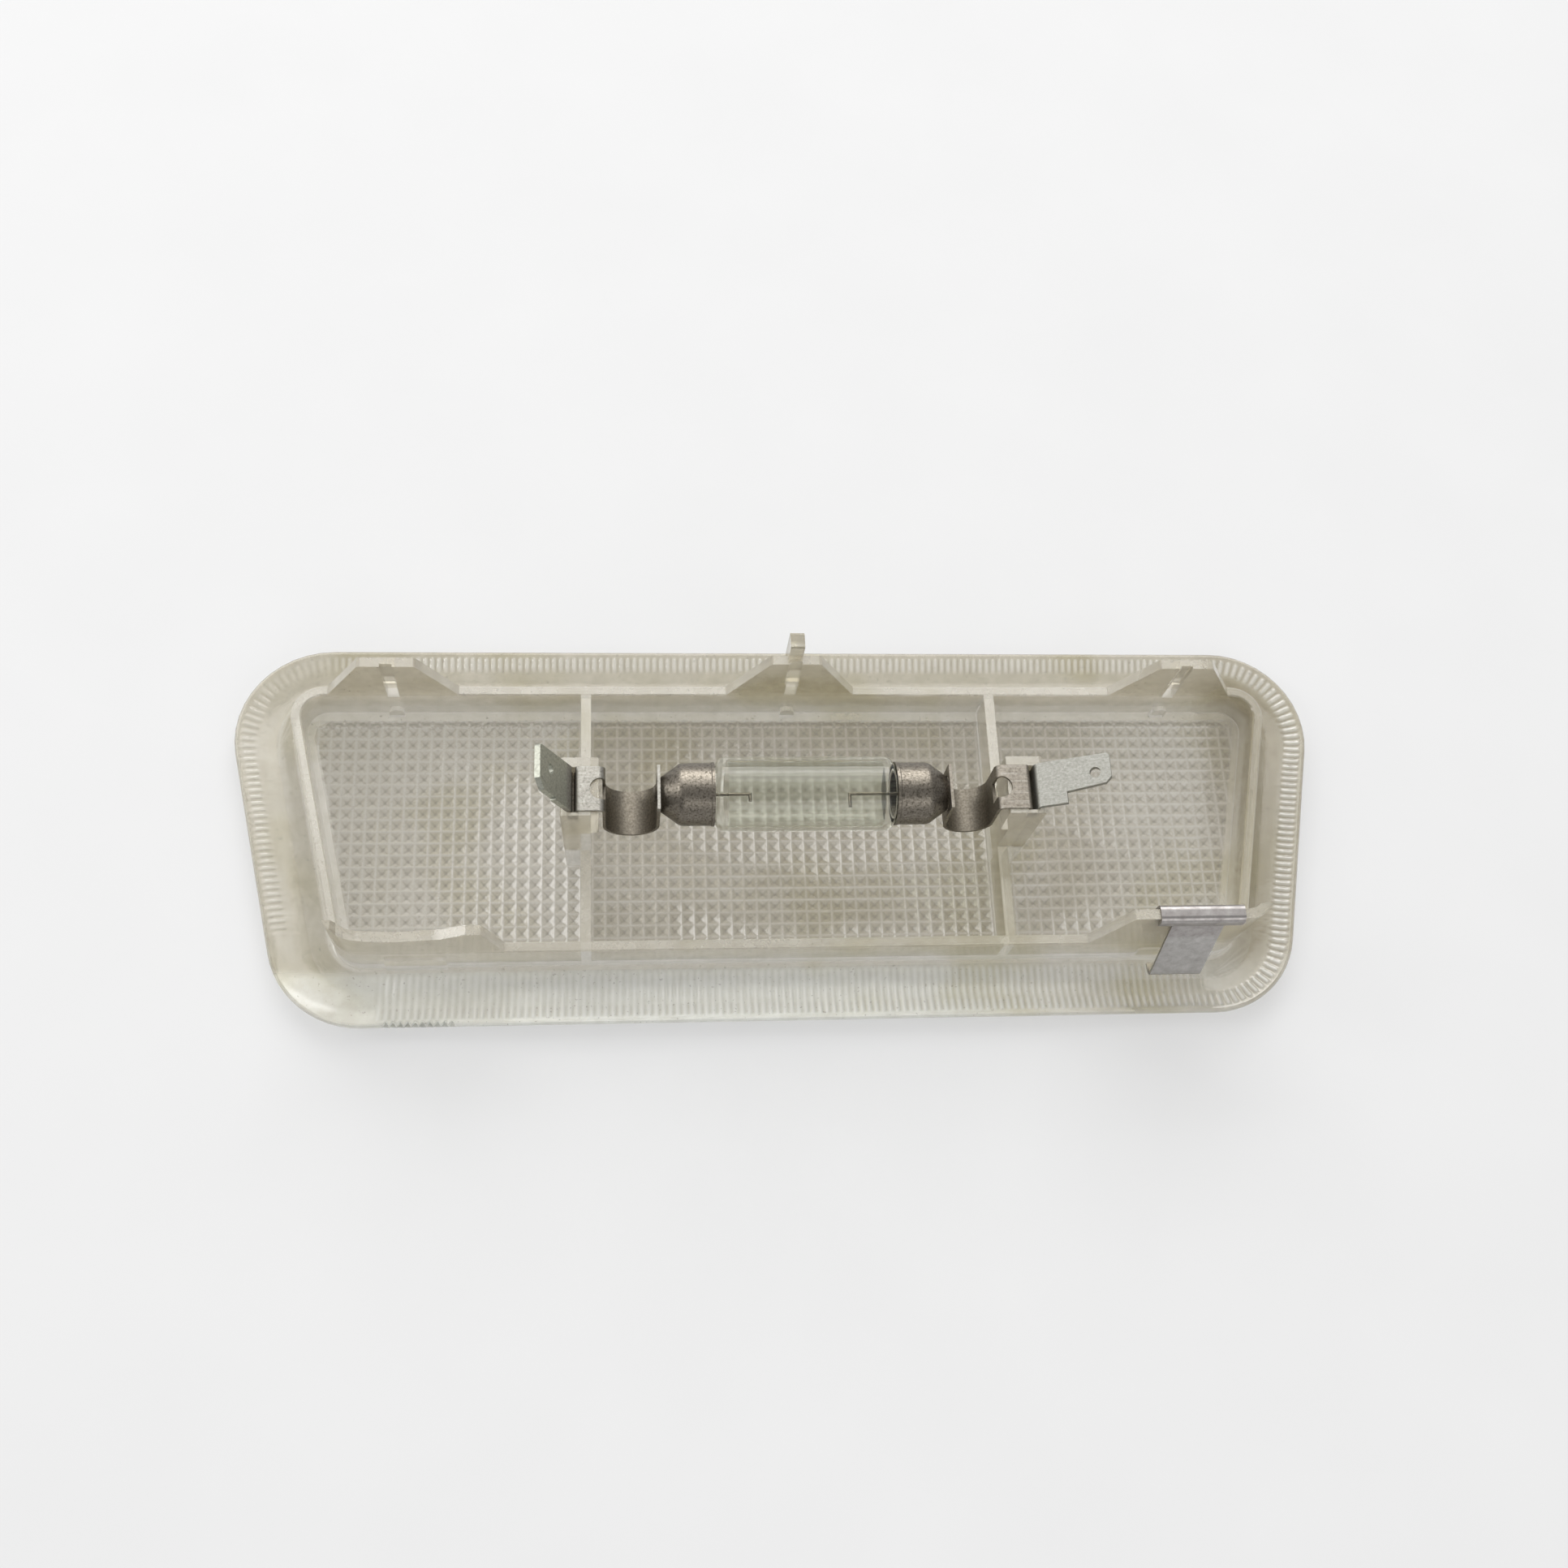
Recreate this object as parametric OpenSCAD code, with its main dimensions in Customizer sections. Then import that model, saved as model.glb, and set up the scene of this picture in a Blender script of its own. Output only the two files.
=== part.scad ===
// Car dome light: a clear moulded lens with a festoon bulb, two spring contacts and a steel clip.
// The lens lies on its front face, as it is left when it has been pulled out of the roof.
// X runs along the lens, +Y to its wider edge and +Z to its back; the origin is the middle of the front face.

/* [Lens outline] */
// Largest width of the lens, across its two upper corners
lens_w = 160.6; // [150:0.1:176]
// Height of the lens, from its lower to its upper edge
lens_h = 56.9; // [54:0.1:62]
// Slant of the two ends, which lean out towards the wider edge
end_slant = 12.3; // [8:0.1:14]
// Radius of the four outer corners
corner_r = 13.5; // [12:0.1:15]
// Thickness of the flange outside the wall
flange_t = 2; // [1.8:0.1:2.4]
// Thickness of the panel inside the wall, up to the ridges of its prisms
panel_t = 3; // [2.8:0.1:3.4]

/* [Curled rim] */
// Width of the part of the flange that curls up
rim_curl_w = 5.5; // [4.5:0.1:6.5]
// Height at which the front face ends at the rim
rim_front_z = 2.5; // [2.2:0.05:2.8]
// Height of the lip above the bench
rim_lip_z = 3.2; // [3:0.05:3.6]

/* [Wall and ribs] */
// Height of the back edge of the wall above the bench
wall_top_z = 9.5; // [8:0.1:11]
// Thickness of the wall and of the two partitions
wall_t = 1.45; // [1.2:0.05:1.8]
// Width of the flange along the upper and lower edges, to the inside of the wall
flange_long = 10; // [9:0.1:11]
// Width of the flange at the two ends, to the inside of the wall
flange_end = 10.5; // [9.5:0.1:11.5]
// Inner radius of the wall at its two upper corners
wall_r_top = 3; // [2:0.1:4]
// Inner radius of the wall at its two lower corners
wall_r_low = 3; // [2:0.1:4]

/* [Prism pattern] */
// Pitch of the square pyramids in the panel
prism_pitch = 1.8; // [1.8:0.1:2.4]
// Depth of the pyramids below their ridges
prism_depth = 0.55; // [0.4:0.05:0.7]
// Width of the plain border between the wall and the prisms
prism_border = 1.15; // [0.8:0.05:1.6]

/* [Retaining tabs] */
// Height of the middle tab on the upper wall
mid_tab_z = 20; // [17:0.1:23]
// Half the width of the middle tab at its foot
mid_tab_foot = 9.4; // [8:0.1:11]
// Half the width of the middle tab at its top
mid_tab_top = 3.8; // [3:0.1:5]
// Height of the two end tabs on the upper wall
end_tab_z = 18.9; // [16:0.1:22]
// Distance of the end tabs' middle from the inside of the end wall
end_tab_in = 13.5; // [12:0.1:15]
// Width of an end tab at its foot
end_tab_foot = 18.6; // [16:0.1:20]
// Width of an end tab at its top
end_tab_top = 8.4; // [6:0.1:10]
// Width of the window in each upper tab
window_w = 1.7; // [1.4:0.1:2.2]
// Height of the window in each upper tab
window_h = 3.8; // [3:0.1:5]
// Width of the hook behind the middle tab
hook_w = 2; // [1.6:0.1:2.6]
// Height of the hook above the bench
hook_z = 22.6; // [21:0.1:26]
// Reach of the hook behind the wall
hook_reach = 2.45; // [1.8:0.05:3]
// Height of the two tabs on the lower wall
low_tab_z = 21; // [18:0.1:24]
// Length of a lower tab along the wall, at its foot
low_tab_w = 23.4; // [20:0.1:26]

/* [Bulb] */
// Length of the festoon bulb over its two noses
bulb_l = 41; // [39:0.1:43]
// Diameter of the bulb's metal caps
cap_d = 8.5; // [7.5:0.1:9]
// Length of the straight part of a cap
cap_l = 4.6; // [4:0.1:5.5]
// Diameter of the glass
glass_d = 10.2; // [9.4:0.1:11]
// Thickness of the glass
glass_t = 0.7; // [0.5:0.05:0.9]
// How far the left lead wire reaches out of the glass seal, towards the middle
left_lead_in = 3.15; // [1:0.05:4]
// How far the right lead wire reaches out of the glass seal, towards the middle
right_lead_in = 4.35; // [1:0.05:4.5]
// Diameter of the lead wires inside the bulb
lead_d = 0.45; // [0.3:0.05:0.6]
// Height of the bulb's axis above the bench
bulb_z = 21.3; // [20.5:0.1:22.5]
// Distance of the bulb's axis below the middle of the lens
bulb_y = 1.6; // [0:0.1:3]

/* [Contacts] */
// Width of the contact strip
strip_w = 6.3; // [5.8:0.1:7]
// Thickness of the contact strip
strip_t = 0.4; // [0.3:0.05:0.5]
// Outer radius of the spring loop in each contact
loop_r = 3.85; // [3.4:0.05:4.3]
// Height of the top of the contact posts
seat_z = 23.4; // [22.8:0.1:24]
// Thickness of the folded terminal blades
blade_t = 0.8; // [0.6:0.05:1]
// Length of the left blade
left_blade_l = 8.9; // [8:0.1:11]
// Length of the right blade
right_blade_l = 9.6; // [8:0.1:11]
// Width of the right blade beyond its step
right_blade_w = 4.7; // [4:0.1:5.6]
// How far the right-hand loop is drawn in, which leaves it a longer flat
right_draw = 0.7; // [0:0.1:1]
// Lean of the left blade from upright
left_lean = 25; // [15:1:40]
// Lean of the right blade from upright, which has been bent down
right_lean = 67; // [55:1:70]

/* [Steel clip] */
// Distance of the clip's middle from the inside of the end wall
clip_in = 9; // [8:0.1:10]
// Width of the clip along the tab
clip_w = 11.8; // [10:0.1:14]
// Thickness of the spring steel
clip_t = 0.4; // [0.3:0.05:0.5]
// Width of the clip's tongue
tongue_w = 7.3; // [5:0.1:8]
// How far the tongue stands out from the tab at its crest
tongue_out = 3.7; // [3:0.1:4.2]

/* [Hidden] */
$fn = 64;
fit = 0.08;                     // running clearance between the metal pieces and what they sit in
sink = 0.6;                     // how deep a rib's foot is sunk into the piece that carries it
draft = 0.03;                   // step between two moulded faces that would otherwise lie in one plane

// Outline: corner centres of the outer edge, and the line of the right-hand end
outer_cy = lens_h / 2 - corner_r;
outer_cx_top = lens_w / 2 - corner_r;
outer_cx_low = outer_cx_top - 2 * outer_cy * tan(end_slant);
end_line = outer_cx_top * cos(end_slant) - outer_cy * sin(end_slant) + corner_r;
wall_in_y = lens_h / 2 - flange_long;
wall_out_y = wall_in_y + wall_t;
slab_t = panel_t - prism_depth - 0.3;    // solid part of the panel under the prisms
foot_z = slab_t - 0.2;          // level at which what stands on the panel starts
arc_n = 12;                     // steps in each rounded corner of an outline

// x of the line that runs parallel to the right-hand end, inset by d, at height y of the lens
function end_x(d, y) = (end_line - d + y * sin(end_slant)) / cos(end_slant);

low_end_x = end_x(flange_end, -wall_in_y);      // where the lower wall would meet the end wall

// Contact chain, from the bulb outwards
nose_l = 0.9;                                   // bulb nose that pokes through the contact plate
plate_x = bulb_l / 2 - nose_l;                  // face of the contact plate towards the bulb
loop_mid_r = loop_r - strip_t / 2;
bend_r = 0.8;                                   // bend between the loop and the flat
riser_x = plate_x + strip_t / 2 + 2 * loop_mid_r;
flat_l = 2.45;                                  // flat part that lies on the post
dip_r = 0.35;                                   // bend from the flat into the slot
dip_x = riser_x + bend_r + flat_l + dip_r;      // leg that goes down into the slot
dip_l = 1.4;
fold_r = 0.5;                                   // hairpin at the bottom of the slot
blade_root_x = dip_x + 2 * fold_r;
loop_z = loop_mid_r + 14.05;                    // centre of the spring loop
flat_mid_z = seat_z + fit + strip_t / 2;
plate_top_z = bulb_z + 3;

// Partition and post under each contact
slot_in_x = dip_x - strip_t / 2 - fit;          // inner side of the slot, which is the outer side of the web
partition_x = slot_in_x - wall_t / 2;
slot_out_x = blade_root_x + strip_t / 2 + fit;
post_out_x = slot_out_x + 0.9;
slot_z = seat_z + strip_t / 2 - dip_r - dip_l - fold_r - strip_t / 2 - fit;
post_front_y = -bulb_y - strip_w / 2 - 0.55;
post_back_y = -bulb_y + strip_w / 2 + 1.45;
ledge_in_x = riser_x + strip_t / 2 + 0.5;       // plastic ledge that stops short of the riser
ledge_z = seat_z - 6.7;

// Clip on the right-hand lower tab
clip_gap = 0.15;                                // clearance between the steel and the tab
clip_half = wall_t / 2 + clip_gap + clip_t / 2; // from the tab's middle plane to a leg's
clip_r = 0.65;                                  // its two bends over the tab's top
clip_x = low_end_x - clip_in;                   // middle of the clip
clip_leg_in = (low_tab_z - wall_top_z) * 0.43;
clip_leg_out = (low_tab_z - wall_top_z) * 0.1;
tongue_in = clip_w / 6;                         // from the clip's left end to its tongue

// Outline of the lens, inset by dy along its long edges and by de at its ends, with rounded corners
function corner_arc(cx, cy, r, from, sweep) =
    [for (k = [0:arc_n]) [cx + r * cos(from + sweep * k / arc_n), cy + r * sin(from + sweep * k / arc_n)]];

function outline_points(dy, de, r_top, r_low) =
    let(cy_top = lens_h / 2 - dy - r_top,
        cy_low = -lens_h / 2 + dy + r_low,
        cx_top = end_x(de + r_top, cy_top),
        cx_low = end_x(de + r_low, cy_low))
    concat(
        corner_arc(cx_top, cy_top, r_top, -end_slant, 90 + end_slant),
        corner_arc(-cx_top, cy_top, r_top, 90, 90 + end_slant),
        corner_arc(-cx_low, cy_low, r_low, 180 + end_slant, 90 - end_slant),
        corner_arc(cx_low, cy_low, r_low, -90, 90 - end_slant));

// Line of the wall, at a depth d from its outer face, with its corners eased a little more
module wall_line(d, ease = 0) {
    g = wall_ring(d, 0);
    polygon(outline_points(g[0], g[1] + ease / 4, g[2] + ease, g[3] + ease));
}

// Rings of the moulding's skin: [inset along the edges, inset at the ends, upper radius, lower radius, z]
function rim_ring(d, z) = [d, d, corner_r - d, corner_r - d, z];
function wall_ring(d, z) =
    [flange_long - wall_t + d, flange_end - wall_t + d, wall_r_top + wall_t - d, wall_r_low + wall_t - d, z];

// The front face curls up to the lip, comes back down to the flange and climbs over the wall to the panel
function skin_rings() =
    let(lip_w = 0.5,
        front_r = (pow(rim_curl_w, 2) + pow(rim_front_z, 2)) / (2 * rim_front_z),
        front_a = asin(rim_curl_w / front_r),
        back_w = rim_curl_w - lip_w,
        rise = rim_lip_z - flange_t,
        back_r = (pow(back_w, 2) + pow(rise, 2)) / (2 * rise),
        back_a = asin(back_w / back_r),
        curl_n = 6,
        edge = 0.2,
        fillet = 0.6)
    concat(
        [for (k = [0:curl_n]) let(a = front_a * k / curl_n) rim_ring(rim_curl_w - front_r * sin(a), front_r * (1 - cos(a)))],
        [rim_ring(0, rim_lip_z - 0.25), rim_ring(0.25, rim_lip_z)],
        [for (k = [0:curl_n]) let(a = back_a * (1 - k / curl_n))
            rim_ring(rim_curl_w - back_r * sin(a), flange_t + back_r * (1 - cos(a)))],
        [wall_ring(-fillet, flange_t), wall_ring(-fillet * 0.3, flange_t + fillet * 0.3), wall_ring(0, flange_t + fillet)],
        [wall_ring(0, wall_top_z - edge), wall_ring(edge, wall_top_z)],
        [wall_ring(wall_t - edge, wall_top_z), wall_ring(wall_t, wall_top_z - edge), wall_ring(wall_t, slab_t)]);

module skin() {
    rings = [for (g = skin_rings()) [for (p = outline_points(g[0], g[1], g[2], g[3])) [p[0], p[1], g[4]]]];
    n = len(rings[0]);
    last = len(rings) - 1;
    polyhedron([for (ring = rings) for (p = ring) p], concat(
        [[for (k = [0:n - 1]) k]],
        [for (j = [0:last - 1]) for (k = [0:n - 1]) for (f = [
            [j * n + k, (j + 1) * n + k, (j + 1) * n + (k + 1) % n],
            [j * n + k, (j + 1) * n + (k + 1) % n, j * n + (k + 1) % n]]) f],
        [[for (k = [0:n - 1]) last * n + n - 1 - k]]));
}

// A flat piece drawn in x and z, as thick as t, whose back is at y
module upright(y, t) { translate([0, y, 0]) rotate([90, 0, 0]) linear_extrude(t) children(); }

module top_tab(x, foot, top, z) {
    r = 0.7;
    upright(wall_out_y - draft, wall_t - 2 * draft) hull() {
        translate([x - foot, wall_top_z - sink]) square([2 * foot, sink - draft]);
        for (side = [-1, 1]) translate([x + side * (top - r), z - r]) circle(r, $fn = 24);
    }
}

// Window through a tab, with a shallow channel above it and a small foot under it
module window(x, z, top) {
    channel_t = 0.45;
    translate([x - window_w / 2, wall_in_y - 1, z]) cube([window_w, wall_t + 2, window_h]);
    translate([x - window_w / 2, wall_in_y - 1, z + window_h - 0.1])
        cube([window_w, 1 + channel_t, top - z - window_h + 1]);
}

module tab_foot(x) {
    foot_w = window_w + 0.4;
    foot_h = 2.7;
    foot_out = 0.7;
    upright_x = wall_in_y + sink;
    translate([x, 0, 0]) upright(upright_x, foot_out + sink) hull() {
        translate([-foot_w / 2, foot_z]) square([foot_w, 1]);
        translate([0, panel_t + foot_h - foot_w / 2]) circle(foot_w / 2, $fn = 24);
    }
}

// Hook behind the middle tab: a barb that is undercut towards the flange
module hook() {
    root_z = 12.2;
    shelf_z = 14.6;
    translate([-hook_w / 2, wall_out_y - sink, 0]) rotate([90, 0, 90]) linear_extrude(hook_w)
        polygon([[0, root_z], [sink, root_z], [sink + hook_reach, shelf_z], [sink + hook_reach, hook_z - 0.5],
            [sink + hook_reach - 0.5, hook_z], [sink + 0.1, hook_z], [sink - 0.05, hook_z - 0.3],
            [sink - 0.05, mid_tab_z - 1], [0, mid_tab_z - 1]]);
}

// Small catches on the outside of the end tabs, hidden behind them
module catch(x) {
    reach = 0.9;
    root_z = 12.4;
    translate([x - window_w / 2, wall_out_y - sink, 0]) rotate([90, 0, 90]) linear_extrude(window_w)
        polygon([[0, root_z], [sink, root_z], [sink + reach, root_z + 1], [sink, end_tab_z - 1.5],
            [0, end_tab_z - 1.5]]);
}

// A lower tab: the wall itself is taller here and carries on round the corner.
// Its outline is drawn from where the lower wall would meet the end wall.
module low_tab(shape) {
    wrap = 0.8;
    translate([low_end_x, 0, 0]) intersection() {
        translate([-low_end_x, 0, wall_top_z - sink]) linear_extrude(low_tab_z) difference() {
            wall_line(draft, 5 * draft);
            wall_line(wall_t - draft, 5 * draft);
        }
        upright(-wall_in_y + wrap, wrap + wall_t + 1) polygon(shape);
    }
}

function low_foot() = 1.5 - low_tab_w;
function whole_tab() = [[low_foot(), wall_top_z - 1], [wall_t + 6, wall_top_z - 1],
    [wall_t + 6, low_tab_z - 1], [-2.9, low_tab_z], [low_foot() + 3.6, low_tab_z], [low_foot(), wall_top_z]];

// The left-hand tab has lost its top: the break runs from its foot to a splinter at its far end
function broken_tab() = [[low_foot(), wall_top_z - 1], [wall_t + 6, wall_top_z - 1],
    [wall_t + 6, low_tab_z - 3.2], [0.2, low_tab_z - 2.9], [-0.4, low_tab_z - 4.2], [-4.1, low_tab_z - 5.6],
    [-8.3, low_tab_z - 6], [-14, low_tab_z - 5], [low_foot() + 4.6, low_tab_z - 3.1],
    [low_foot() + 2.6, low_tab_z - 3.2], [low_foot(), wall_top_z]];

// Raised pad low on the outside of each lower tab, which the clip's tongue faces
module clip_pad() {
    pad_t = 0.35;
    pad_w = 8.4;
    pad_z = 7.2;
    r = 0.8;
    translate([clip_x - 0.6, 0, 0]) upright(-wall_out_y + sink, pad_t + sink) hull() {
        translate([-pad_w / 2, flange_t - sink]) square([pad_w, sink]);
        for (side = [-1, 1]) translate([side * (pad_w / 2 - r), pad_z - r]) circle(r, $fn = 24);
    }
}

// Partition with the web, the slotted post and the ledge that carry one contact
module contact_post() {
    post_l = post_back_y - post_front_y;
    post_foot_x = post_out_x - 0.4;
    r = 0.4;
    web_x = partition_x - wall_t / 2 - draft;
    web_foot_z = foot_z - draft;
    translate([partition_x - wall_t / 2, -wall_in_y - sink, foot_z])
        cube([wall_t, 2 * (wall_in_y + sink), wall_top_z - foot_z - draft]);
    difference() {
        upright(post_back_y, post_l) {
            hull() {
                translate([web_x, web_foot_z]) square([post_foot_x - web_x, 1]);
                translate([web_x, seat_z - 1]) square([1, 1]);
                translate([post_out_x - r, seat_z - r]) circle(r, $fn = 24);
            }
            hull() {
                translate([ledge_in_x, seat_z - 1]) square([web_x + 0.2 - ledge_in_x, 1]);
                translate([ledge_in_x + r, ledge_z + r]) circle(r, $fn = 24);
                translate([web_x - 0.2, ledge_z]) square([0.4, 1]);
            }
        }
        translate([slot_in_x, -bulb_y - strip_w / 2 - fit, slot_z])
            cube([slot_out_x - slot_in_x, strip_w + 2 * fit, seat_z]);
    }
}

// One pit of the prism pattern: a square pyramid that stands on its point and is drawn to twice its depth
module pit() {
    translate([0, 0, 2 * prism_depth]) mirror([0, 0, 1])
        linear_extrude(2 * prism_depth, scale = 0) square(2 * prism_pitch, center = true);
}

// The part of the panel that has prisms, inside its plain border
module prism_field() {
    y = wall_in_y - prism_border;
    d = flange_end + prism_border;
    polygon([[end_x(d, y), y], [-end_x(d, y), y], [-end_x(d, -y), -y], [end_x(d, -y), -y]]);
}

// Rows of square pits whose ridges meet at the panel's height
module prisms() {
    nx = ceil(end_x(flange_end, wall_in_y) / prism_pitch);
    ny = ceil(wall_in_y / prism_pitch);
    intersection() {
        for (j = [-ny:ny - 1]) for (i = [-nx:nx - 1])
            translate([(i + 0.5) * prism_pitch, (j + 0.5) * prism_pitch, panel_t - prism_depth]) pit();
        linear_extrude(panel_t + 5) prism_field();
    }
}

module panel() {
    translate([0, 0, foot_z]) linear_extrude(panel_t - foot_z) wall_line(wall_t / 2, 5 * draft);
}

module lens() {
    end_tab_x = end_x(flange_end, wall_in_y) - end_tab_in;
    window_z = 8.8;
    mid_window_z = window_z + 0.8;
    color([0.80, 0.78, 0.71]) {
        difference() {
            union() {
                difference() {
                    union() {
                        skin();
                        panel();
                    }
                    prisms();
                }
                top_tab(0, mid_tab_foot, mid_tab_top, mid_tab_z);
                hook();
                for (side = [-1, 1]) {
                    top_tab(side * end_tab_x, end_tab_foot / 2, end_tab_top / 2, end_tab_z);
                    catch(side * end_tab_x);
                }
                for (side = [0, 1]) mirror([side, 0, 0]) contact_post();
            }
            window(0, mid_window_z, mid_tab_z);
            for (side = [-1, 1]) window(side * end_tab_x, window_z, end_tab_z);
        }
        tab_foot(0);
        for (side = [-1, 1]) tab_foot(side * end_tab_x);
        low_tab(whole_tab());
        mirror([1, 0, 0]) low_tab(broken_tab());
        for (side = [0, 1]) mirror([side, 0, 0]) clip_pad();
    }
}

// A strip bent along a path of steps: [length] runs straight and [radius, turn] bends it.
// A pose is [x, z, heading]; a turn is to the left when it is positive.
function after(p, s) = len(s) == 1
    ? [p[0] + s[0] * cos(p[2]), p[1] + s[0] * sin(p[2]), p[2]]
    : let(side = sign(s[1]), cx = p[0] - side * s[0] * sin(p[2]), cz = p[1] + side * s[0] * cos(p[2]))
      [cx + side * s[0] * sin(p[2] + s[1]), cz - side * s[0] * cos(p[2] + s[1]), p[2] + s[1]];

function pose_at(start, path, n) = n == 0 ? start : after(pose_at(start, path, n - 1), path[n - 1]);

module wedge(from, sweep, r) {
    steps = ceil(sweep / 45);
    reach = r / cos(sweep / steps / 2) + 1;
    polygon(concat([[0, 0]], [for (k = [0:steps]) [reach * cos(from + sweep * k / steps),
        reach * sin(from + sweep * k / steps)]]));
}

module strip_step(p, s, t) {
    if (len(s) == 1)
        translate([p[0], p[1]]) rotate(p[2]) translate([0, -t / 2]) square([s[0], t]);
    else {
        side = sign(s[1]);
        from = side > 0 ? p[2] - 90 : p[2] + 90 + s[1];
        translate([p[0] - side * s[0] * sin(p[2]), p[1] + side * s[0] * cos(p[2])]) intersection() {
            difference() {
                circle(s[0] + t / 2, $fn = 48);
                circle(s[0] - t / 2, $fn = 48);
            }
            wedge(from, abs(s[1]), s[0] + t);
        }
    }
}

module strip(start, path, t) {
    for (n = [0:len(path) - 1]) strip_step(pose_at(start, path, n), path[n], t);
}

// Terminal blade, drawn with its length along x and its width along y, with a step in one edge
module blade_outline(l, step_x, step_in, taper, chamfer) {
    half = strip_w / 2;
    root = 0.15;
    polygon([[-root, -half], [step_x, -half], [step_x, -half + step_in], [l - chamfer, -half + step_in + taper],
        [l, -half + step_in + taper + chamfer], [l, half - 0.3], [l - 0.3, half], [-root, half]]);
}

// One contact, for the right-hand end of the bulb: plate, spring loop, flat, hairpin and blade.
// Its loop can be drawn in, which leaves it a longer flat.
module contact(drawn_in, lean, blade_l, step_x, step_in, taper, chamfer, hole_x, hole_d) {
    start = [plate_x + strip_t / 2, plate_top_z, -90];
    turn_r = 0.8;
    path = [[plate_top_z - loop_z], [loop_mid_r - drawn_in / 2, 180], [flat_mid_z - bend_r - loop_z],
        [bend_r, -90], [flat_l + drawn_in],
        [dip_r, -90], [dip_l], [fold_r, 180], [dip_l + dip_r - 0.3], [turn_r, -lean]];
    tip = pose_at(start, path, len(path));
    locate_d = 3;
    cone_d = 4.9;
    difference() {
        translate([0, -bulb_y, 0]) union() {
            upright(strip_w / 2, strip_w) strip(start, path, strip_t);
            translate([tip[0], 0, tip[1]]) rotate([0, -tip[2], 0]) translate([0, 0, -blade_t / 2])
                linear_extrude(blade_t) difference() {
                    blade_outline(blade_l, step_x, step_in, taper, chamfer);
                    translate([hole_x, 0.6]) circle(d = hole_d, $fn = 32);
                }
        }
        translate([plate_x - 2 * strip_t, -bulb_y, bulb_z]) rotate([0, 90, 0]) cylinder(h = 5 * strip_t, d = cone_d);
        translate([riser_x - drawn_in + strip_t, -bulb_y, seat_z - 0.4 * strip_w])
            cylinder(h = 0.6 * strip_w, d = locate_d);
    }
}

module left_contact() {
    color([0.62, 0.60, 0.57]) mirror([1, 0, 0])
        contact(0, left_lean, left_blade_l, left_blade_l / 2, 0.3, 0, 1.3, left_blade_l * 0.66, 1.4);
}

module right_contact() {
    color([0.66, 0.65, 0.62]) contact(right_draw, right_lean, right_blade_l, right_blade_l * 0.36,
        strip_w - right_blade_w, 0.5, 0.8, right_blade_l * 0.78, 1.5);
}

// Bulb: everything is turned about the x axis
nose_d = 2.4;
cone_l = 2.7;
cap_t = 0.3;
cap_in_x = bulb_l / 2 - nose_l - cone_l - cap_l;     // open edge of a cap
neck_d = cap_d - 2 * cap_t - 2 * fit;                // glass neck inside the cap
shoulder_x = cap_in_x - 0.15;                        // end of the glass outside the cap
seal_t = 1.6;                                        // solid glass at each end

module about_bulb_axis() { translate([0, -bulb_y, bulb_z]) rotate([0, 90, 0]) rotate_extrude() children(); }

module bulb_glass() {
    shoulder_r = 1.3;
    neck_l = 2.6;
    color([0.86, 0.90, 0.88]) about_bulb_axis() difference() {
        union() {
            translate([0, -shoulder_x + shoulder_r]) square([glass_d / 2, 2 * (shoulder_x - shoulder_r)]);
            translate([0, -shoulder_x]) square([glass_d / 2 - shoulder_r, 2 * shoulder_x]);
            for (side = [-1, 1]) translate([glass_d / 2 - shoulder_r, side * (shoulder_x - shoulder_r)])
                circle(shoulder_r);
            translate([0, -shoulder_x - neck_l]) square([neck_d / 2, 2 * (shoulder_x + neck_l)]);
        }
        translate([-1, -shoulder_x + seal_t]) square([glass_d / 2 - glass_t + 1, 2 * (shoulder_x - seal_t)]);
        translate([-1, -shoulder_x - neck_l - 1])
            square([lead_d / 2 + fit + 1, 2 * (shoulder_x + neck_l + 1)]);
    }
}

// Section of the right-hand cap: its axis is y, and its nose points up
module cap_section() {
    shoulder = cap_in_x + cap_l;
    cone_end_r = 2.3;
    plate_face = bulb_l / 2 - nose_l;
    round_r = 1.6;
    turn = atan2(cap_d / 2 - cone_end_r, cone_l);
    round_from = shoulder - round_r * tan(turn / 2);
    difference() {
        polygon(concat([[0, cap_in_x], [cap_d / 2 + 0.1, cap_in_x], [cap_d / 2 + 0.1, cap_in_x + 0.4],
            [cap_d / 2, cap_in_x + 0.5]], bend_points([cap_d / 2, round_from], 90, round_r, turn, 4),
            [[cone_end_r, plate_face], [nose_d / 2, bulb_l / 2 - 0.2], [nose_d / 2 - 0.2, bulb_l / 2],
            [0, bulb_l / 2]]));
        polygon([[-1, cap_in_x - 1], [cap_d / 2 - cap_t, cap_in_x - 1], [cap_d / 2 - cap_t, shoulder - 0.1],
            [cone_end_r - cap_t, plate_face - 0.2], [0.6, plate_face + 0.2], [-1, plate_face + 0.2]]);
    }
}

module left_bulb_cap() { color([0.56, 0.53, 0.49]) mirror([1, 0, 0]) about_bulb_axis() cap_section(); }
module right_bulb_cap() { color([0.56, 0.53, 0.49]) about_bulb_axis() cap_section(); }

// Lead wire: from the nose of a cap, through the seal of the glass, to a short hook. The filament is gone.
module lead_wire(reach, hook_l) {
    outer_x = bulb_l / 2 - nose_l;
    end_x = shoulder_x - seal_t - reach;
    translate([end_x, -bulb_y, bulb_z]) rotate([0, 90, 0]) cylinder(h = outer_x - end_x, d = lead_d, $fn = 24);
    translate([end_x, -bulb_y, bulb_z]) sphere(d = lead_d, $fn = 24);
    translate([end_x, -bulb_y, bulb_z]) rotate([90, 0, 0]) cylinder(h = hook_l, d = lead_d, $fn = 24);
}

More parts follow.
